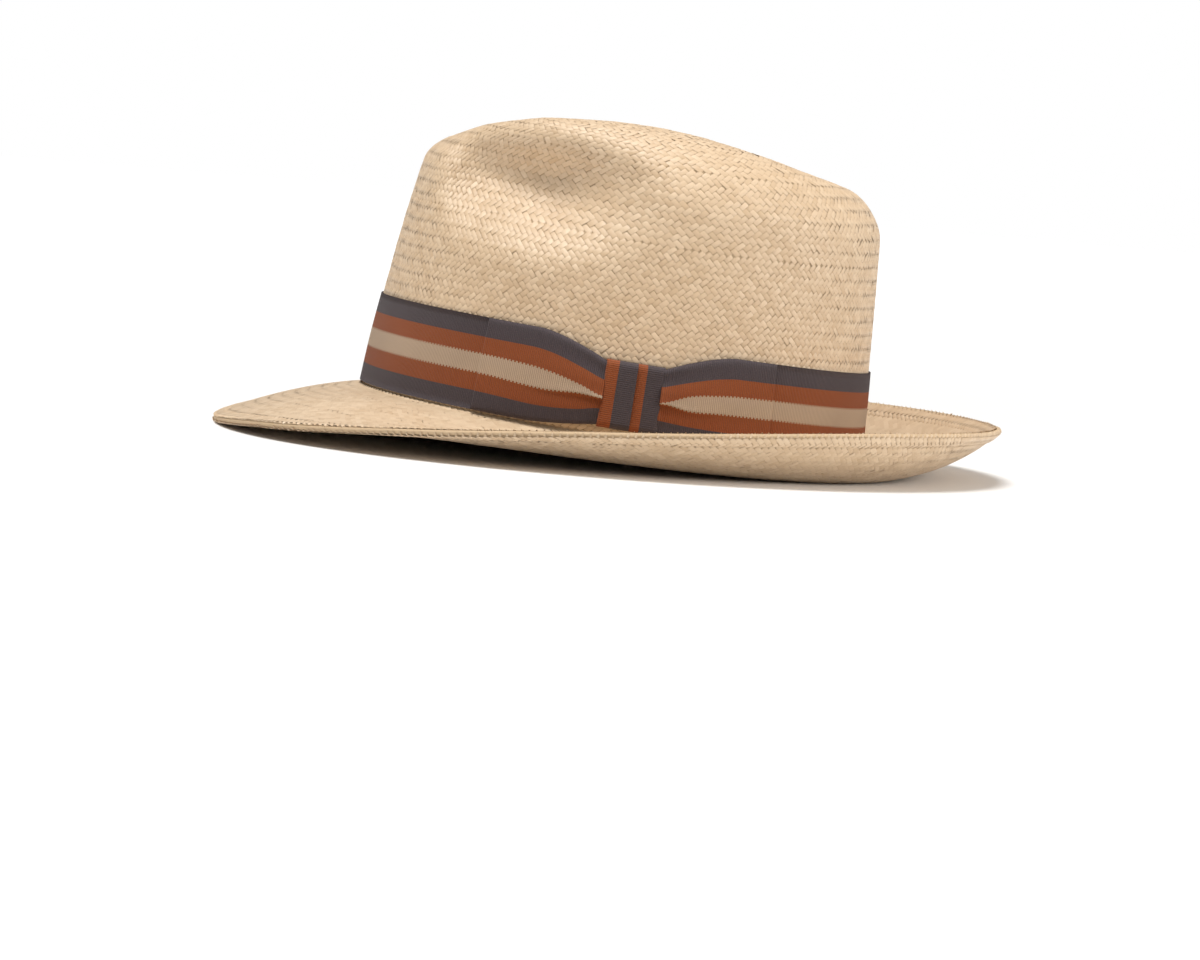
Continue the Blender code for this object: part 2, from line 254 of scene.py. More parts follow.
def brim(out, turn):
    """Upper face of the brim, from the crown (0) out to the rim (1)."""
    fine = (np.arange(BRIM_FINE) + 0.5)[:, None] / BRIM_FINE
    leave = np.radians(by_turn(BRIM_SECTIONS, 2, turn))
    end = np.radians(by_turn(BRIM_SECTIONS, 3, turn))
    wall = -math.pi / 2 + by_turn(CROWN_SECTIONS, 1, turn)
    bend = np.clip(fine / BREAK_SHARE, 0, 1)
    slope = leave + (end - leave) * np.clip((fine - BREAK_SHARE) / (1 - BREAK_SHARE), 0, 1)
    slope = np.where(bend < 1, wall + (leave - wall) * bend, slope)
    length = BRIM * by_turn(BRIM_SECTIONS, 1, turn)
    reach = np.cumsum(np.cos(slope), axis=0) * length / BRIM_FINE
    rise = np.cumsum(np.sin(slope), axis=0) * length / BRIM_FINE
    at = np.clip(np.round(np.asarray(out) * BRIM_FINE).astype(int) - 1, 0, BRIM_FINE - 1)
    base_x, base_y = oval(turn, 0.0)
    across, ahead = oval_normal(turn)
    reach, rise = reach[at], rise[at]
    return np.stack((base_x + across * reach, base_y + ahead * reach, rise), axis=-1)


def ring_normals(rings):
    """Normals of stacked rings, on the side that shows."""
    around = np.roll(rings, -1, axis=1) - np.roll(rings, 1, axis=1)
    outward = np.gradient(rings, axis=0)
    normals = np.cross(around, outward)
    normals /= np.linalg.norm(normals, axis=-1, keepdims=True) + 1e-15
    return -normals


def solid_rings():
    """The part's own rings of points, to set this model down exactly as the solid lies."""
    turn = whole_turn(COLUMNS)
    down = [np.linspace(start, end, rings + 1)[1:] for start, end, rings in CROWN_RINGS]
    down = np.concatenate(down)
    hem = 1 - HEM_SHARE
    bend = BREAK_SHARE * np.array(BREAK_RINGS)
    flat = np.linspace(BREAK_SHARE, hem, BRIM_RINGS + 1)[1:]
    out = np.concatenate([bend, flat, [hem + HEM_STEP_SHARE, hem + HEM_SHARE / 2, 1.0]])
    rings = np.array([crown(share, turn) for share in down] + list(brim(out, turn)))
    thick = np.array([STRAW] * (len(rings) - 3) + [HEM_THICKNESS] * 3)
    normals = ring_normals(rings)
    lower = rings - normals * thick[:, None, None]
    away = rings[-1] - rings[-2]
    away /= np.linalg.norm(away, axis=-1, keepdims=True)
    depth = HEM_THICKNESS * np.array(RIM_DEPTH_SHARES)[:, None, None]
    rim = rings[-1] - normals[-1] * depth + away * HEM_THICKNESS * RIM_ROUND_SHARE
    return np.concatenate([rings, rim, lower[::-1]])


def resting_tilt(points):
    """Slope of the line under the hat from its front rim to the back of its brim."""
    flat = points.reshape(-1, 3)[:, 1:]
    hull = []
    for point in flat[np.argsort(flat[:, 0])]:
        while len(hull) > 1:
            ahead, behind = hull[-1] - hull[-2], point - hull[-2]
            if ahead[0] * behind[1] - ahead[1] * behind[0] > 0:
                break
            hull.pop()
        hull.append(point)
    for start, end in zip(hull, hull[1:]):
        if start[0] < 0 < end[0]:
            return math.atan2(end[1] - start[1], end[0] - start[0])
    return 0.0


class Rest:
    """Sets the level shapes down on the floor as the hat lies by itself."""

    def __init__(self, points):
        tilt = resting_tilt(points)
        self.cos, self.sin = math.cos(tilt), math.sin(tilt)
        self.shift = np.zeros(3)
        turned = self.place(points).reshape(-1, 3)
        low, high = turned.min(axis=0), turned.max(axis=0)
        self.shift = np.array([(low[0] + high[0]) / 2, (low[1] + high[1]) / 2, low[2]])
        self.shift[2] += PRESS

    def turn(self, v):
        v = np.asarray(v, float)
        x, y, z = v[..., 0], v[..., 1], v[..., 2]
        return np.stack((x, y * self.cos + z * self.sin, z * self.cos - y * self.sin), -1)

    def place(self, points):
        return self.turn(points) - self.shift


rest = Rest(solid_rings())


class Surface:
    """A closed band of surface: rows run from 0 to 1, columns once round the hat."""

    def __init__(self, points, normals=None):
        self.points = points
        self.normals = ring_normals(points) if normals is None else normals
        self.rows, self.columns, _ = points.shape

    def at(self, row, turn):
        """Point and normal at each row share and turn."""
        r = np.clip(row, 0, 1) * (self.rows - 1)
        c = (turn / (2 * math.pi) % 1.0) * self.columns
        r0 = np.clip(np.floor(r).astype(int), 0, self.rows - 2)
        c0 = np.floor(c).astype(int) % self.columns
        fr, fc = (r - r0)[..., None], (c - np.floor(c))[..., None]
        c1 = (c0 + 1) % self.columns
        found = []
        for grid in (self.points, self.normals):
            top = grid[r0, c0] * (1 - fc) + grid[r0, c1] * fc
            low = grid[r0 + 1, c0] * (1 - fc) + grid[r0 + 1, c1] * fc
            found.append(top * (1 - fr) + low * fr)
        found[1] /= np.linalg.norm(found[1], axis=-1, keepdims=True) + 1e-15
        return found

    def moved(self, off):
        """The same band moved along its own normals; off is one number or one a row."""
        off = np.broadcast_to(off, (self.rows,))[:, None, None]
        return Surface(self.points + self.normals * off, self.normals)


def crown_surface():
    """Outer face of the crown, at rest, with many more points than the solid has."""
    rows = np.linspace(CROWN_START_SHARE, 1, CROWN_ROWS)
    return Surface(rest.place(np.array([crown(share, whole_turn(AROUND)) for share in rows])))


def brim_surface():
    """Upper face of the brim, at rest, with many more points than the solid has."""
    rows = np.linspace(0.0, 1.0, BRIM_ROWS + 1)[1:]
    return Surface(rest.place(brim(rows, whole_turn(AROUND))))


def new_mesh(name, points, quads, uv=None, tone=None):
    """One mesh object from arrays: quads index points, uv is one pair a point."""
    mesh = bpy.data.meshes.new(name)
    points = np.asarray(points, np.float32)
    quads = np.asarray(quads, np.int32)
    mesh.vertices.add(len(points))
    mesh.vertices.foreach_set("co", points.ravel())
    mesh.loops.add(quads.size)
    mesh.loops.foreach_set("vertex_index", quads.ravel())
    mesh.polygons.add(len(quads))
    mesh.polygons.foreach_set("loop_start", np.arange(0, quads.size, quads.shape[1], dtype=np.int32))
    mesh.update(calc_edges=True)
    if uv is not None:
        layer = mesh.uv_layers.new(name="UVMap")
        layer.data.foreach_set("uv", np.asarray(uv, np.float32)[quads.ravel()].ravel())
    if tone is not None:
        colour = mesh.attributes.new("tone", "FLOAT_COLOR", "POINT")
        colour.data.foreach_set("color", np.asarray(tone, np.float32).ravel())
    mesh.validate()
    mesh.shade_smooth()
    made = bpy.data.objects.new(name, mesh)
    bpy.context.scene.collection.objects.link(made)
    return made


def grid_quads(rows, columns, closed=False):
    """Quads between rows of points; closed joins the last column to the first."""
    steps = columns if closed else columns - 1
    r, c = np.meshgrid(np.arange(rows - 1), np.arange(steps), indexing="ij")
    after = (c + 1) % columns
    a, b = r * columns + c, (r + 1) * columns + c
    d, e = (r + 1) * columns + after, r * columns + after
    return np.stack((a, b, d, e), -1).reshape(-1, 4)


# Strand: stations along it and across it, as shares of its half length and half width
ALONG = np.array([-1.0, -0.66, 0.66, 1.0])
ACROSS = np.array([-1.0, -0.62, 0.62, 1.0])
PLAIN_ALONG = np.array([-1.0, 0.0, 1.0])
PLAIN_ACROSS = np.array([-1.0, 1.0])
BORDER = 0.9

# Strand: half its length and half its width as shares of the pitch, and heights in metres
LENGTH_SHARE = 0.565
WIDTH_SHARE = 0.258
STRAND_RISE = 0.00040
STRAND_DIVE = 0.00036
EDGE_DROP = 0.00011

# Relief of the rows, 1 being the full dive and drop; the painted shade at a strand's ends and edges
# grows with it
CROWN_RELIEF = 0.9
BRIM_RELIEF = 0.14
UNDER_RELIEF = 0.6
RIM_RELIEF = 0.3
HEM_ROW_RELIEF = 1.5
RIM_DIVE = 3.2

# Spread of the random draws, as standard deviations
PLACE_SPREAD = 0.02
WIDTH_SPREAD = 0.04
LENGTH_SPREAD = 0.03
SWAY_SPREAD = 0.03
TIP_SPREAD = 0.00005
SHAPE_SPREAD = 0.10
HEIGHT_SPREAD = 0.00004
STRAND_TINT = 0.20
FLOAT_TINT = 0.10

# Fibre pattern: how far along it the floats start, and how many lanes across it they take
FIBRE_STARTS = 7
FIBRE_LANES = 9

# Painted shade at a strand's ends, where it dives under its neighbours, and along its edges
END_SHADOW = 0.80
EDGE_SHADOW = 0.40


def fresh_shades(count):
    """Shades of the strands of each lean, one for each strand round the hat."""
    return {lean: np.clip(rng.normal(0.5, STRAND_TINT, count), 0, 1) for lean in (1, -1)}


def strand_shade(shades, row, floats, lean):
    """Each strand keeps its own shade wherever it comes up, with a little of its own in each float."""
    strand = (floats - lean * row) % len(floats)
    return np.clip(shades[lean][strand] + rng.normal(0, FLOAT_TINT, len(floats)), 0, 1)


def strands(name, surface, zones, lift, relief, side=1, plain=False, same_lean=False, hem_row=None):
    """Woven strands over a band: each row of floats leans the other way from the last.

    zones lists (first row share, last row share, rows, floats a row). side is -1 under a
    surface. plain strands have fewer stations, strands of the same lean dive at one end only,
    and hem_row is the share where a row is pressed deeper and given deeper painted shade. The tone
    attribute holds each strand's and float's own tint, a painted shade that is darkest where a
    strand dives or drops at its edges, and a random value that no material reads."""
    along = PLAIN_ALONG if plain else ALONG
    across = PLAIN_ACROSS if plain else ACROSS
    s, t = np.meshgrid(along, across, indexing="ij")
    s, t = s.ravel(), t.ravel()
    dive, edge = 1.0 * (np.abs(s) > BORDER), 1.0 * (np.abs(t) > BORDER)
    if same_lean:
        dive = dive * np.where(s > 0, RIM_DIVE, 0.0)
    points, uvs, tones = [], [], []
    row, before = 0, 0
    for first, last, rows, count in zones:
        step = (last - first) / rows
        floats = np.arange(count)
        if count != before:
            shades = fresh_shades(count)
            before = count
        for k in range(rows):
            lean = 1 if row % 2 == 0 or same_lean else -1
            middle = first + (k + 0.5) * step
            at_hem = hem_row is not None and abs(middle - hem_row) < step * 0.5
            depth = HEM_ROW_RELIEF if at_hem else relief
            shape = -depth * (STRAND_DIVE * dive + EDGE_DROP * edge)
            shade = strand_shade(shades, row, floats, lean)[:, None]
            centre_x = floats + 0.5 * (row % 2) + rng.normal(0, PLACE_SPREAD, count)
            centre_r = middle + rng.normal(0, PLACE_SPREAD, (count, 1)) * step
            row += 1
            wide = WIDTH_SHARE * (1 + rng.normal(0, WIDTH_SPREAD, (count, 1)))
            half = LENGTH_SHARE * (1 + rng.normal(0, LENGTH_SPREAD, (count, 1)))
            sway = rng.normal(0, SWAY_SPREAD, (count, 1))
            dx = lean * s * half + t * wide + sway * s
            dy = s * half - lean * t * wide
            turn = 2 * math.pi * (centre_x[:, None] + dx) / count
            base, normal = surface.at(centre_r + dy * step, turn)
            tip = relief * rng.normal(0, TIP_SPREAD, (count, 1)) * t
            tall = lift + STRAND_RISE + shape * (1 + rng.normal(0, SHAPE_SPREAD, (count, 1))) + tip
            tall = tall + relief * rng.normal(0, HEIGHT_SPREAD, (count, 1))
            points.append((base + normal * (side * tall)[..., None]).reshape(-1, 3))
            u = (s * 0.5 + 0.5) + rng.random((count, 1)) * FIBRE_STARTS
            v = (t * 0.5 + 0.5) + rng.integers(0, FIBRE_LANES, (count, 1))
            uvs.append(np.stack((u, v), -1).reshape(-1, 2))
            # Painted shade: 1 on the open middle of a float, falling where it dives or drops at its
            # edges, and further on the hem row and at the rim strands' diving ends
            top = np.clip(1 - depth * (END_SHADOW * dive + EDGE_SHADOW * edge), 0, 1)
            tone = [shade + 0 * s, top + 0 * shade, rng.random((count, 1)) + 0 * s]
            tones.append(np.stack(tone + [np.ones((count, len(s)))], -1).reshape(-1, 4))
    points = np.concatenate(points)
    quad = grid_quads(len(along), len(across))
    if side < 0:
        quad = quad[:, ::-1]
    starts = np.arange(0, len(points), len(s))
    quads = starts[:, None, None] + quad[None]
    return new_mesh(name, points, quads.reshape(-1, 4), np.concatenate(uvs), np.concatenate(tones))


def zones_for(surface, first, last, counts):
    """Zones of rows at the weave's own pitch, each with the count that suits its ring."""
    steps, around = 60, 90
    shares = np.linspace(first, last, steps + 1)
    turn = np.linspace(0, 2 * math.pi, around, endpoint=False)
    path = [surface.at(np.full(around, share), turn)[0] for share in shares]
    gaps = [np.linalg.norm(b - a, axis=-1).mean() for a, b in zip(path, path[1:])]
    length = np.mean(gaps) * steps
    rows = max(2, int(round(length / PITCH / 2)) * 2)
    step = (last - first) / rows
    rings = [np.linalg.norm(np.roll(p, -1, 0) - p, axis=-1).sum() for p in path]
    centres = first + (np.arange(rows) + 0.5) * step
    sizes = np.interp(centres, shares, rings)
    best = [min(counts, key=lambda n: abs(math.log(size / PITCH / n))) for size in sizes]
    zones = []
    for k in range(rows):
        low = first + k * step
        if zones and zones[-1][3] == best[k]:
            zones[-1][1] = low + step
            zones[-1][2] += 1
        else:
            zones.append([low, low + step, 1, best[k]])
    return zones


# Materials


class Nodes:
    """Short way to build a material's nodes."""

    def __init__(self, name):
        self.made = bpy.data.materials.new(name)
        self.made.use_nodes = True
        self.tree = self.made.node_tree
        self.shader = self.tree.nodes["Principled BSDF"]

    def add(self, kind, **settings):
        node = self.tree.nodes.new(kind)
        for key, value in settings.items():
            setattr(node, key, value)
        return node

    def put(self, socket, value):
        if isinstance(value, bpy.types.NodeSocket):
            self.tree.links.new(value, socket)
        else:
            socket.default_value = value

    def maths(self, operation, a, b=0.0):
        node = self.add("ShaderNodeMath", operation=operation)
        self.put(node.inputs[0], a)
        self.put(node.inputs[1], b)
        return node.outputs[0]

    def mix(self, factor, a, b):
        node = self.add("ShaderNodeMix", data_type="RGBA")
        self.put(node.inputs[0], factor)
        self.put(node.inputs[6], a)
        self.put(node.inputs[7], b)
        return node.outputs[2]

    def noise(self, vector, scale, detail=2.0, rough=0.5):
        node = self.add("ShaderNodeTexNoise")
        self.put(node.inputs["Vector"], vector)
        node.inputs["Scale"].default_value = scale
        node.inputs["Detail"].default_value = detail
        node.inputs["Roughness"].default_value = rough
        return node.outputs["Fac"]

    def ramp(self, value, low, high, to_low=0.0, to_high=1.0):
        node = self.add("ShaderNodeMapRange")
        self.put(node.inputs[0], value)
        node.inputs[1].default_value = low
        node.inputs[2].default_value = high
        node.inputs[3].default_value = to_low
        node.inputs[4].default_value = to_high
        return node.outputs[0]

    def raised(self, height, strength, distance):
        node = self.add("ShaderNodeBump")
        node.inputs["Strength"].default_value = strength
        node.inputs["Distance"].default_value = distance
        self.put(node.inputs["Height"], height)
        self.put(self.shader.inputs["Normal"], node.outputs[0])


STRAW_LIGHT = (0.755, 0.575, 0.390, 1)
STRAW_DARK = (0.63, 0.452, 0.282, 1)
# Painted shade: the dark straw colour laid where a strand dives under its neighbours or drops at its
# edges
STRAW_PAINTED_SHADE = (0.36, 0.22, 0.11, 1)
GAP_DARK = (0.56, 0.40, 0.235, 1)
GAP_LIGHT = (0.68, 0.50, 0.32, 1)


def straw_material():
    """Pale straw, with painted shade where a strand dives or ends and along its edges."""
    n = Nodes("Straw")
    coords = n.add("ShaderNodeTexCoord")
    tone = n.add("ShaderNodeAttribute", attribute_name="tone")
    parts = n.add("ShaderNodeSeparateColor")
    n.put(parts.inputs[0], tone.outputs["Color"])
    uv = n.add("ShaderNodeMapping")
    n.put(uv.inputs[0], coords.outputs["UV"])
    uv.inputs["Scale"].default_value = (1.2, 7.0, 1.0)
    fibre = n.noise(uv.outputs[0], 2.4, 3.0, 0.6)
    cloud = n.noise(coords.outputs["Object"], 22.0, 3.0, 0.5)
    patch = n.maths("ADD", n.maths("MULTIPLY", parts.outputs[0], 0.75), n.maths("MULTIPLY", cloud, 0.25))
    body = n.mix(n.ramp(patch, 0.2, 0.8), STRAW_DARK, STRAW_LIGHT)
    streaked = n.mix(n.ramp(fibre, 0.35, 0.75, 0.0, 0.35), body, STRAW_DARK)
    # Painted shade: the straw turns to the dark shade colour where the tone's second channel falls, at
    # strand ends and edges
    edge = n.ramp(parts.outputs[1], 0.15, 0.8)
    full = n.mix(edge, STRAW_PAINTED_SHADE, streaked)
    n.put(n.shader.inputs["Base Color"], full)
    n.put(n.shader.inputs["Roughness"], n.ramp(fibre, 0.3, 0.7, 0.40, 0.54))
    n.shader.inputs["Sheen Weight"].default_value = 0.08
    n.shader.inputs["Specular IOR Level"].default_value = 0.50
    n.raised(fibre, 0.35, 0.00012)
    return n.made


def gap_material():
    """Slightly cloudy straw, seen between the strands."""
    n = Nodes("Straw between strands")
    coords = n.add("ShaderNodeTexCoord")
    cloud = n.noise(coords.outputs["Object"], 300.0, 2.0)
    n.put(n.shader.inputs["Base Color"], n.mix(cloud, GAP_DARK, GAP_LIGHT))
    n.shader.inputs["Roughness"].default_value = 0.8
    return n.made


GREY = (0.070, 0.055, 0.063, 1)
RUST = (0.310, 0.072, 0.014, 1)
CREAM = (0.560, 0.410, 0.285, 1)
RIB_SHADOW = (0.04, 0.025, 0.022, 1)
PALE_THREAD = (0.42, 0.30, 0.24, 1)
SOFT_SHADE = (0.02, 0.012, 0.012, 1)
STRIPES = (
    # where the stripe ends (mm across the ribbon), colour
    (7.6, GREY),
    (14.2, RUST),
    (21.6, CREAM),
    (28.6, RUST),
    (36.0, GREY),
)
STRIPE_BLUR = 0.05
RIB = 0.39
TOOTH_HEIGHT = 0.55
CROSS_THREAD = 0.14


def ribbon_material():
    """Stripes run along the ribbon; UV, rib and thread sizes are in millimetres, along then across."""
    n = Nodes("Striped ribbon cloth")
    coords = n.add("ShaderNodeTexCoord")
    split = n.add("ShaderNodeSeparateXYZ")
    n.put(split.inputs[0], coords.outputs["UV"])
    along, across = split.outputs[0], split.outputs[1]
    tooth = n.maths("GREATER_THAN", n.maths("PINGPONG", along, 2 * RIB), RIB)
    teeth = n.maths("MULTIPLY", n.maths("SUBTRACT", tooth, 0.5), TOOTH_HEIGHT)
    ragged = n.maths("ADD", across, teeth)
    colour = GREY
    for (end, before), (_, after) in zip(STRIPES, STRIPES[1:]):
        edge = ragged if CREAM in (before, after) else across
        past = n.ramp(edge, end - STRIPE_BLUR, end + STRIPE_BLUR)
        colour = n.mix(past, colour, after)
    rib = n.ramp(n.maths("PINGPONG", along, RIB), 0.0, RIB)
    fine = n.ramp(n.maths("PINGPONG", across, CROSS_THREAD), 0.0, CROSS_THREAD)
    cloud = n.noise(coords.outputs["Object"], 26.0, 3.0, 0.5)
    thread = n.noise(coords.outputs["UV"], 2.6, 2.0, 0.5)
    colour = n.mix(n.ramp(rib, 0.0, 0.50, 0.45, 0.0), colour, RIB_SHADOW)
    colour = n.mix(n.ramp(thread, 0.45, 0.75, 0.0, 0.10), colour, PALE_THREAD)
    colour = n.mix(n.ramp(cloud, 0.3, 0.7, 0.0, 0.14), colour, SOFT_SHADE)
    n.put(n.shader.inputs["Base Color"], colour)
    n.shader.inputs["Roughness"].default_value = 0.78
    n.shader.inputs["Sheen Weight"].default_value = 0.08
    n.shader.inputs["Sheen Roughness"].default_value = 0.45
    n.shader.inputs["Specular IOR Level"].default_value = 0.25
    height = n.maths("ADD", n.maths("SQRT", rib), n.maths("MULTIPLY", fine, 0.25))
    n.raised(height, 0.9, 0.00024)
    return n.made


# Straw


def hem_step(share):
    """1 over the folded hem and 0 on the plain brim, at shares of the way out to the rim."""
    return np.clip((share - (1 - HEM_SHARE)) / HEM_EASE_SHARE, 0, 1)


def shell(crown_face, brim_face, rim):
    """Plain straw under the strands, closed between its two faces."""
    turn = whole_turn(GROUND_AROUND)
    outer, inner = [], []
    for share in np.linspace(0.0, 1.0, GROUND_CROWN_ROWS):
        ring, normal = crown_face.at(np.full(GROUND_AROUND, share), turn)
        outer.append(ring - normal * SINK)
        inner.append(ring - normal * (STRAW - SINK))
    for share in np.linspace(GROUND_BRIM_START, 1.0, GROUND_BRIM_ROWS):
        ring, normal = brim_face.at(np.full(GROUND_AROUND, share), turn)
        hem = hem_step(share)
        outer.append(ring - normal * (SINK - hem * HEM_TOP))
        inner.append(ring - normal * (STRAW - SINK + hem * HEM_UNDER))
    for share in np.linspace(*GROUND_RIM_SHARES, GROUND_RIM_ROWS):
        ring, normal = rim.at(np.full(GROUND_AROUND, share), turn)
        outer.append(ring - normal * GROUND_RIM_SINK)
    rows = np.array(outer + inner[::-1])
    rows[..., 2] = np.maximum(rows[..., 2], GROUND_OFF_FLOOR)
    quads = grid_quads(len(rows), GROUND_AROUND, closed=True)
    return new_mesh("straw_ground", rows.reshape(-1, 3), quads)


def rim_surface(brim_face):
    """Round over the rim, from the upper face of the hem to its lower one."""
    turn = whole_turn(AROUND)
    edge, normal = brim_face.at(np.full(AROUND, 1.0), turn)
    back, _ = brim_face.at(np.full(AROUND, RIM_LEVEL_SHARE), turn)
    away = edge - back
    away /= np.linalg.norm(away, axis=-1, keepdims=True)
    rows, normals = [], []
    for angle in np.linspace(*RIM_HALF_TURNS, RIM_ROWS) * math.pi:
        out = normal * math.sin(-angle) + away * math.cos(angle)
        rows.append(edge - normal * RIM_DROP + out * RIM_RADIUS - away * RIM_BACK)
        normals.append(out)
    return Surface(np.array(rows), np.array(normals))


# Floats a ring that a zone may have, from the middle of the top to the rim
CROWN_COUNTS = (12, 20, 30, 42, 56, 72, 90, 110, 132, 156, 182, 212)
BRIM_COUNTS = (212, 232, 256, 284, 314, 348)

# Shares where the weave's rows begin and end
CROWN_START = 0.004
BRIM_START = 0.002
BRIM_END = 0.982


def straw(crown_face, brim_face):
    """The plain ground and the strands over both faces of crown and brim, and round the rim."""
    rim = rim_surface(brim_face)
    ground = shell(crown_face, brim_face, rim)
    ground.data.materials.append(gap_material())
    hem_row = 1 - HEM_SHARE
    hem = hem_step(np.linspace(0, 1, brim_face.rows))
    inside = crown_face.moved(-STRAW)
    upper = brim_face.moved(hem * HEM_TOP)
    under = brim_face.moved(-(STRAW + hem * HEM_UNDER))
    crown_zones = zones_for(crown_face, CROWN_START, 1.0, CROWN_COUNTS)
    upper_zones = zones_for(brim_face, BRIM_START, BRIM_END, BRIM_COUNTS)
    under_zones = zones_for(brim_face, BRIM_START, 1.0, BRIM_COUNTS)
    rim_zones = [(0.0, 1.0, 1, RIM_FLOATS)]
    woven = [
        strands("crown_weave", crown_face, crown_zones, -SINK, CROWN_RELIEF),
        strands("crown_weave_inside", inside, crown_zones, -SINK, CROWN_RELIEF, -1, plain=True),
        strands("brim_weave", upper, upper_zones, -SINK, BRIM_RELIEF, hem_row=hem_row),
        strands("brim_weave_under", under, under_zones, -SINK, UNDER_RELIEF, -1, hem_row=hem_row),
        strands("rim_weave", rim, rim_zones, 0.0, RIM_RELIEF, same_lean=True),
    ]
    pale = straw_material()
    for piece in woven:
        piece.data.materials.append(pale)
    for piece in [ground, *woven]:
        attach(piece, "root")
        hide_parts("hat_body")
        floor_clear(piece)


def floor_clear(piece):
    """Lifts what would reach below the floor up to it."""
    mesh = piece.data
    points = np.empty(len(mesh.vertices) * 3, np.float32)
    mesh.vertices.foreach_get("co", points)
    points = points.reshape(-1, 3)
    points[:, 2] = np.maximum(points[:, 2], 0.0)
    mesh.vertices.foreach_set("co", points.ravel())
    mesh.update()


# Ribbon


def along_bow(y):
    """Gathering at the knot: 1 beside it and under it, 0 out along the ribbon."""
    away = np.abs(y - KNOT_MIDDLE) - KNOT_WIDTH / 2
    return (1 - np.clip(away / GATHER_LENGTH, 0, 1)) ** GATHER_EASE


def ribbon_edges(turn):
    """Heights of the ribbon's lower and upper edge, drawn together at the knot."""
    x, y = oval(turn, 0.0)
    gather = np.where(x > 0, along_bow(y), 0.0)
    low = RIBBON_RISE + GATHER_BOTTOM * gather
    high = RIBBON_RISE + RIBBON_WIDTH - GATHER_TOP * gather
    return low, high


def on_wall(turn, share, off):
    """Points over the crown's wall, at a share of the ribbon's height and a distance off the straw."""
    low, high = ribbon_edges(turn)
    z = low + (high - low) * share
    x, y = oval(turn, wall_inset(turn, z))
    across, ahead = oval_normal(turn)
    return np.stack((x + across * off, y + ahead * off, z), axis=-1)


def turn_at(y):
    """Turn on the wearer's left side where the crown's foot is at y."""
    return np.arccos(np.clip(-y / (HEAD_LENGTH / 2 + STRAW), -1, 1))


def arc_mm(turn):
    """Length round the crown from the front to each turn, in millimetres."""
    fine = np.linspace(0, 2 * math.pi, 2001)
    x, y = oval(fine, 0.0)
    run = np.concatenate([[0], np.cumsum(np.hypot(np.diff(x), np.diff(y)))]) * 1000
    return np.interp(turn, fine, run)


def laid(turn, shares, offsets):
    """Rows of points over the wall, at shares from the ribbon's top down and distances off the straw."""
    rows = [on_wall(turn, 1 - share, off) for share, off in zip(shares, offsets)]
    return np.array([rest.place(row) for row in rows])


def border(rows, columns):
    """Indices of a sheet's points once round its edge."""
    grid = np.arange(rows * columns).reshape(rows, columns)
    back_row, back_column = grid[-1, -2::-1], grid[-2:0:-1, 0]
    return np.concatenate([grid[0], grid[1:, -1], back_row, back_column])


def joined(loop_points, back):
    """Quads between the edge of the outer face and the same edge of the inner one."""
    after = np.roll(loop_points, -1)
    return np.stack((loop_points, after, back + after, back + loop_points), -1)


def cloth(name, outer, inner, along, across, closed=False):
    """Closed thin solid between two faces; along and across, in millimetres, lay out its stripes.

    closed joins its last column to its first, as for a ribbon all the way round."""
    rows, columns = outer.shape[:2]
    back = rows * columns
    face = grid_quads(rows, columns, closed)
    if closed:
        top, bottom = np.arange(columns), back - columns + np.arange(columns)
        upper, lower = joined(top, back)[:, ::-1], joined(bottom, back)
        sides = [np.roll(upper, 1, axis=1), np.roll(lower, -1, axis=1)]
    else:
        sides = [joined(border(rows, columns), back)]
    quads = np.concatenate([face, back + face[:, ::-1], *sides])
    layout = [np.broadcast_to(place, (rows, columns)) for place in (along, across)]
    uv = np.stack(layout, -1).reshape(-1, 2)
    points = np.concatenate([outer.reshape(-1, 3), inner.reshape(-1, 3)])
    return new_mesh(name, points, quads, np.concatenate([uv, uv]))


def dress(piece, look, node):
    """Gives a cloth its look, and puts it in place of the part's own solid."""
    piece.data.materials.append(look)
    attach(piece, "root")
    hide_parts(node)


STRIPE_ENDS = np.array([0.0] + [end for end, _ in STRIPES])


def rows_between(edges, each):
    """Rows from the first edge to the last, with the same number in each stripe."""
    rows = [edges[0]]
    for start, end in zip(edges, edges[1:]):
        rows += [start + (end - start) * step / each for step in range(1, each + 1)]
    return np.array(rows)


BAND_THICKNESS = 0.0006
BAND_COLUMNS = 1200
BAND_ROWS_A_STRIPE = 3
BAND_SAG = 0.00010
BAND_WAVE = 0.00012
BAND_WAVES = 9


def band(look):
    """The ribbon round the crown, with a slight wave in it."""
    turn = np.linspace(0, 2 * math.pi, BAND_COLUMNS, endpoint=False)
    shares = rows_between(STRIPE_ENDS / STRIPE_ENDS[-1], BAND_ROWS_A_STRIPE)
    across = rows_between(STRIPE_ENDS, BAND_ROWS_A_STRIPE)
    middle = np.sin(shares * math.pi)[:, None]
    wave = BAND_WAVE * np.sin(turn * BAND_WAVES + shares[:, None] * 2.2)
    offsets = SEAT + RIBBON + BAND_SAG * middle + wave * middle
    outer, inner = laid(turn, shares, offsets), laid(turn, shares, offsets - BAND_THICKNESS)
    made = cloth("ribbon_cloth", outer, inner, arc_mm(turn), across[:, None], closed=True)
    dress(made, look, "ribbon_band")


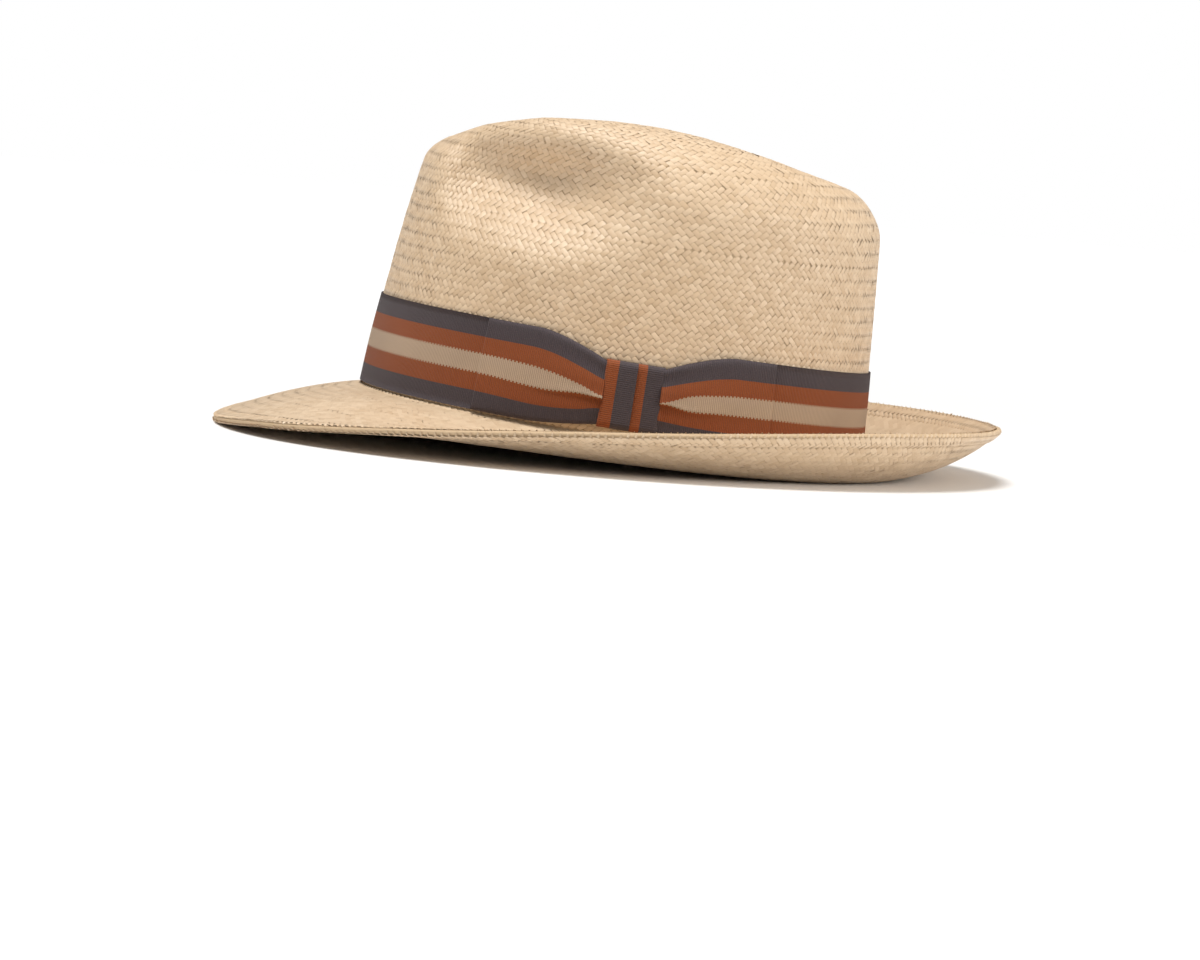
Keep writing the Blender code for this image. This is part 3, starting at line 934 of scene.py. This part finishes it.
FRONT_FOLDS = (
    # along the loop from its end to the knot, then where each stripe ends, shares from the top
    (0.00, 0.211, 0.394, 0.600, 0.794),
    (0.55, 0.220, 0.428, 0.636, 0.822),
    (0.82, 0.258, 0.480, 0.590, 0.800),
    (1.00, 0.292, 0.548, 0.585, 0.745),
)
BACK_FOLDS = (
    (0.00, 0.211, 0.394, 0.600, 0.794),
    (0.50, 0.220, 0.408, 0.606, 0.798),
    (0.75, 0.240, 0.420, 0.605, 0.800),
    (1.00, 0.262, 0.510, 0.522, 0.790),
)
BOW_SEAT = SEAT * 2 + RIBBON
LOOP_COLUMNS = 120
LOOP_ROWS_A_STRIPE = 6
LOOP_THICKNESS = 0.0012
LOOP_RISE = 0.0016
LIP_RISE = 0.0026
RIDGE = 0.00042
SWELL = 0.0007
CREASE_BELOW = 0.010
CREASE_SOFTNESS = 0.006
LIP_REACH = 0.16
LONG_EDGE_ROUND = 0.03
END_ROUND = 0.012
EDGE_THICKNESS_SHARE = 0.62


def loop(name, look, node, start, end, folds, knot_first):
    """One bow loop: a folded ribbon, flat at its end and gathered into folds at the knot."""
    turn = turn_at(np.linspace(start, end, LOOP_COLUMNS))
    near = np.linspace(1, 0, LOOP_COLUMNS) if knot_first else np.linspace(0, 1, LOOP_COLUMNS)
    stripes = [along_table(folds, k, near) for k in (1, 2, 3, 4)]
    edges = np.array([0 * near, *stripes, 0 * near + 1])
    shares = rows_between(edges, LOOP_ROWS_A_STRIPE)
    across = rows_between(STRIPE_ENDS, LOOP_ROWS_A_STRIPE)
    body = LOOP_THICKNESS + LOOP_RISE * near**2
    crease = edges[3]
    above = 1 - 1 / (1 + np.exp(-(shares - crease - CREASE_BELOW) / CREASE_SOFTNESS))
    lip = LIP_RISE * near**2.2 * above * np.exp(-np.clip(crease - shares, 0, 1) / LIP_REACH)
    ridges = RIDGE * near**1.6 * np.sin(2 * math.pi * (2.6 * shares + 0.15) + 1.2 * near)
    swell = SWELL * np.sin(math.pi * near) * np.sin(math.pi * shares) ** 0.6
    long_edges = np.clip(np.minimum(shares, 1 - shares) / LONG_EDGE_ROUND, 0, 1) ** 0.5
    end_edge = np.clip(near / END_ROUND, 0, 1) ** 0.5
    thickness = EDGE_THICKNESS_SHARE + (1 - EDGE_THICKNESS_SHARE) * long_edges * end_edge
    offsets = BOW_SEAT + (body + lip + ridges + swell) * thickness
    outer, inner = laid(turn, shares, offsets), laid(turn, shares, 0 * offsets + BOW_SEAT)
    made = cloth(name, outer, inner, arc_mm(turn), across[:, None])
    dress(made, look, node)


KNOT_STRIPES = (
    # share across the knot from the face side, then place on the ribbon in mm
    (0.0000, 23.2),
    (0.2250, 28.6),
    (0.5385, 36.0),
    (0.5390, 10.6),
    (0.6970, 7.6),
    (1.0000, 0.3),
)
KNOT_CLOTH_ROWS = 40
KNOT_CLOTH_OVERHANG = 0.0008
KNOT_TUCK = 0.0008
PLEAT_END = 0.534
PLEAT_STEP = 0.537
PLEAT_RISE = 0.0010
KNOT_SIDE_ROUND = 0.14
KNOT_END_ROUND = 0.10
CREASES = (
    # share across the knot, depth in metres
    (0.225, 0.00022),
    (0.697, 0.00018),
)
CREASE_WIDTH = 0.03
KNOT_SWAY = 0.00012


def knot(look):
    """The ribbon wrapped upright over the bow's middle, pleated so that one edge lies over the other."""
    pleat = [KNOT_STRIPES[2][0], KNOT_STRIPES[3][0]]
    along_knot = np.concatenate([np.linspace(0, PLEAT_END, 48), pleat, np.linspace(0.55, 1, 41)])
    table = np.array(KNOT_STRIPES)
    across = np.interp(along_knot, table[:, 0], table[:, 1])
    turn = turn_at(KNOT_MIDDLE + KNOT_WIDTH * (along_knot - 0.5))
    height = RIBBON_WIDTH - GATHER_TOP - GATHER_BOTTOM
    over = KNOT_CLOTH_OVERHANG / height
    shares = np.linspace(-over, 1 + over, KNOT_CLOTH_ROWS)[:, None]
    on_pleat = (along_knot < PLEAT_STEP).astype(float)
    rise = PLEAT_RISE * on_pleat * (0.55 + 0.45 * along_knot / 0.54)
    for place, depth in CREASES:
        rise = rise - depth * np.exp(-(((along_knot - place) / CREASE_WIDTH) ** 2))
    roll = np.clip(np.abs(along_knot - 0.5) * 2 - (1 - KNOT_SIDE_ROUND), 0, 1)
    roll = np.sqrt(np.clip(1 - roll**2 / KNOT_SIDE_ROUND**2, 0, 1))
    tops = np.clip(np.minimum(shares + over, 1 + over - shares) / KNOT_END_ROUND, 0, 1)
    tops = np.sqrt(np.clip(1 - (1 - tops) ** 2, 0, 1))
    sway = KNOT_SWAY * np.sin(shares * 7.0 + along_knot * 3.0)
    body = (KNOT_THICKNESS + rise + sway) * (0.35 + 0.65 * roll) * (0.30 + 0.70 * tops)
    offsets = BOW_SEAT + body
    outer, inner = laid(turn, shares, offsets), laid(turn, shares, 0 * offsets + BOW_SEAT)
    made = cloth("bow_knot_cloth", outer, inner, shares * height * 1000, across)
    dress(made, look, "bow_knot")


# Stage, lights and camera


FLOOR_RINGS = (0.25, 0.6, 1.2, 2.5, 5.0, 9.0)
FLOOR_AROUND = 64


def floor():
    """Pale floor, wide enough to meet the white surroundings in every view."""
    turn = whole_turn(FLOOR_AROUND)
    rows = [np.stack((r * np.cos(turn), r * np.sin(turn), 0 * turn), -1) for r in FLOOR_RINGS]
    points = np.array(rows).reshape(-1, 3)
    made = new_mesh("floor", points, grid_quads(len(rows), FLOOR_AROUND, closed=True))
    middle = new_mesh("floor_middle", points[:FLOOR_AROUND], np.arange(FLOOR_AROUND)[None])
    look = floor_material()
    for piece in (made, middle):
        piece.data.materials.append(look)


def floor_material():
    """Pale and matt, and glowing more and more with distance, so that it fades into the white."""
    n = Nodes("Pale floor")
    coords = n.add("ShaderNodeTexCoord")
    far = n.add("ShaderNodeVectorMath", operation="LENGTH")
    n.put(far.inputs[0], coords.outputs["Object"])
    n.put(n.shader.inputs["Emission Strength"], n.ramp(far.outputs["Value"], 0.45, 2.2, 0.0, 0.85))
    n.shader.inputs["Emission Color"].default_value = (1, 1, 1, 1)
    n.shader.inputs["Base Color"].default_value = (0.90, 0.90, 0.90, 1)
    n.shader.inputs["Roughness"].default_value = 0.95
    n.shader.inputs["Specular IOR Level"].default_value = 0.0
    return n.made


WORLD_LIGHT = 0.28
KEY_COLOUR = (1.0, 0.99, 0.975)
FILL_COLOUR = (1.0, 0.98, 0.95)


def area_light(name, place, aim, size, power, colour):
    """Round soft light of a size in metres and a power in watts, turned to its aim."""
    data = bpy.data.lights.new(name, "AREA")
    data.shape = "DISK"
    data.size = size
    data.energy = power
    data.color = colour
    made = bpy.data.objects.new(name, data)
    made.location = place
    made.rotation_euler = (Vector(aim) - Vector(place)).to_track_quat("-Z", "Y").to_euler()
    bpy.context.scene.collection.objects.link(made)


def lights():
    """White surroundings that light the hat less than they show, a large key and a fill from behind."""
    world = bpy.data.worlds.new("Studio")
    bpy.context.scene.world = world
    world.use_nodes = True
    nodes, links = world.node_tree.nodes, world.node_tree.links
    seen = nodes.new("ShaderNodeLightPath")
    strength = nodes.new("ShaderNodeMapRange")
    strength.inputs[3].default_value = WORLD_LIGHT
    strength.inputs[4].default_value = 1.0
    links.new(seen.outputs["Is Camera Ray"], strength.inputs[0])
    links.new(strength.outputs[0], nodes["Background"].inputs[1])
    nodes["Background"].inputs[0].default_value = (1.0, 1.0, 1.0, 1)
    area_light("key", (0.38, -0.36, 1.98), (0, 0, 0.06), 1.1, 41, KEY_COLOUR)
    area_light("back fill", (0.45, 1.50, 0.60), (0, 0.05, 0.04), 0.8, 11, FILL_COLOUR)
    bpy.context.scene.view_settings.view_transform = "Standard"


CAMERA_AWAY = 1.480
CAMERA_RISE = math.radians(4.0)
FOCAL_PIXELS = 3636.0
PHOTO_WIDTH = 1200
SENSOR_MM = 36.0
ROLL_SIN, ROLL_COS = 0.163, 0.9866
MIDDLE_ALONG = -0.0004
MIDDLE_DROP = -0.0249


def camera():
    """The photograph's angle to the hat, from its left side and a little above the ribbon."""
    away = np.array([math.cos(CAMERA_RISE), 0.0, math.sin(CAMERA_RISE)])
    right = np.array([0.0, 1.0, 0.0])
    up = np.cross(right, -away)
    place = away * CAMERA_AWAY
    aim = right * MIDDLE_ALONG + up * MIDDLE_DROP
    back = place - aim
    back /= np.linalg.norm(back)
    picture_up = ROLL_COS * up - ROLL_SIN * right
    back, picture_up = rest.turn(back), rest.turn(picture_up)
    side = np.cross(picture_up, back)
    side /= np.linalg.norm(side)
    picture_up = np.cross(back, side)
    data = bpy.data.cameras.new("camera")
    data.sensor_width = SENSOR_MM
    data.lens = FOCAL_PIXELS / PHOTO_WIDTH * SENSOR_MM
    made = bpy.data.objects.new("camera", data)
    columns = np.array([side, picture_up, back, rest.place(place)])
    made.matrix_world = Matrix([*columns.T.tolist(), [0, 0, 0, 1]])
    bpy.context.scene.collection.objects.link(made)
    bpy.context.scene.camera = made


camera()
floor()
lights()
straw(crown_surface(), brim_surface())
ribbon_look = ribbon_material()
band(ribbon_look)
tuck = KNOT_WIDTH / 2 - KNOT_TUCK
loop(
    "bow_front_loop_cloth", ribbon_look, "bow_front_loop",
    LOOP_FRONT_END, KNOT_MIDDLE - tuck, FRONT_FOLDS, False,
)
loop(
    "bow_back_loop_cloth", ribbon_look, "bow_back_loop",
    KNOT_MIDDLE + tuck, LOOP_BACK_END, BACK_FOLDS, True,
)
knot(ribbon_look)
